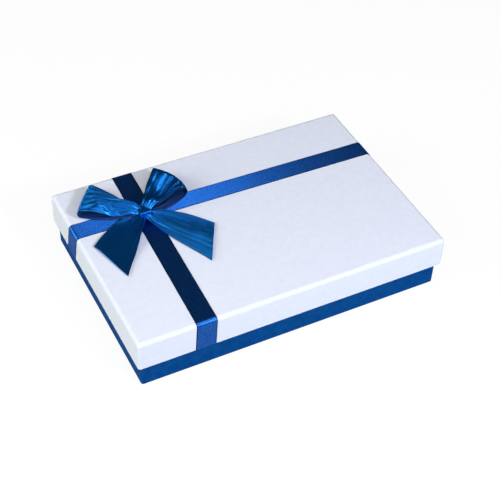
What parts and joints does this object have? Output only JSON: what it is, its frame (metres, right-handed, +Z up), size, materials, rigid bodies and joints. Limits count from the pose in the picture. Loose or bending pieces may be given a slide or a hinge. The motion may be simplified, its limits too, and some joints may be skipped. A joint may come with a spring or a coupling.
{
  "type": "chocolate box",
  "caption": "Rigid gift box for chocolates: lift-off lid with crossed satin bands and a bow, over a base with interlocking card dividers.",
  "frame": {"origin": "centre of the underside of the closed box, on the surface it stands on", "axes": "+X along the length, +Y across the width to the back, +Z up"},
  "size_m": [0.2506, 0.1706, 0.0609],
  "materials": {
    "lid_paper": "very pale lavender-white embossed paper, fine linen-like grain, soft sheen",
    "base_paper": "deep blue embossed paper, satin",
    "band_satin": "royal to navy blue woven satin ribbon with plain selvedges",
    "bow_satin": "navy to royal blue double-faced satin ribbon",
    "greyboard": "bare grey chipboard",
    "stay_paper": "brown gummed paper",
    "lining_paper": "smooth white lining paper",
    "pad_paper": "white embossed wadding paper",
    "divider_card": "white coated card",
    "tape": "double-sided tissue tape",
    "glue": "clear hot-melt dot"
  },
  "bodies": {
    "base": {"base_board": "greyboard", "base_corner_stays": "stay_paper", "base_wrap": "base_paper", "base_liner": "lining_paper", "base_pad": "pad_paper", "divider_long_1": "divider_card", "divider_long_2": "divider_card", "divider_long_3": "divider_card", "divider_cross_1": "divider_card", "divider_cross_2": "divider_card", "divider_cross_3": "divider_card", "divider_cross_4": "divider_card", "divider_cross_5": "divider_card"},
    "lid": {"lid_board": "greyboard", "lid_corner_stays": "stay_paper", "lid_wrap": "lid_paper", "lid_liner": "lining_paper", "lid_pad": "pad_paper", "ribbon_long_band": "band_satin", "ribbon_cross_band": "band_satin", "ribbon_end_tapes": "tape", "bow_loops": "bow_satin", "bow_tails": "bow_satin", "bow_tie": "bow_satin", "bow_glue_dot": "glue"}
  },
  "joints": [
    {"name": "lid_lift", "type": "slide", "parent": "base", "child": "lid", "axis": [0, 0, 1], "range_m": [0, 0.1]}
  ]
}
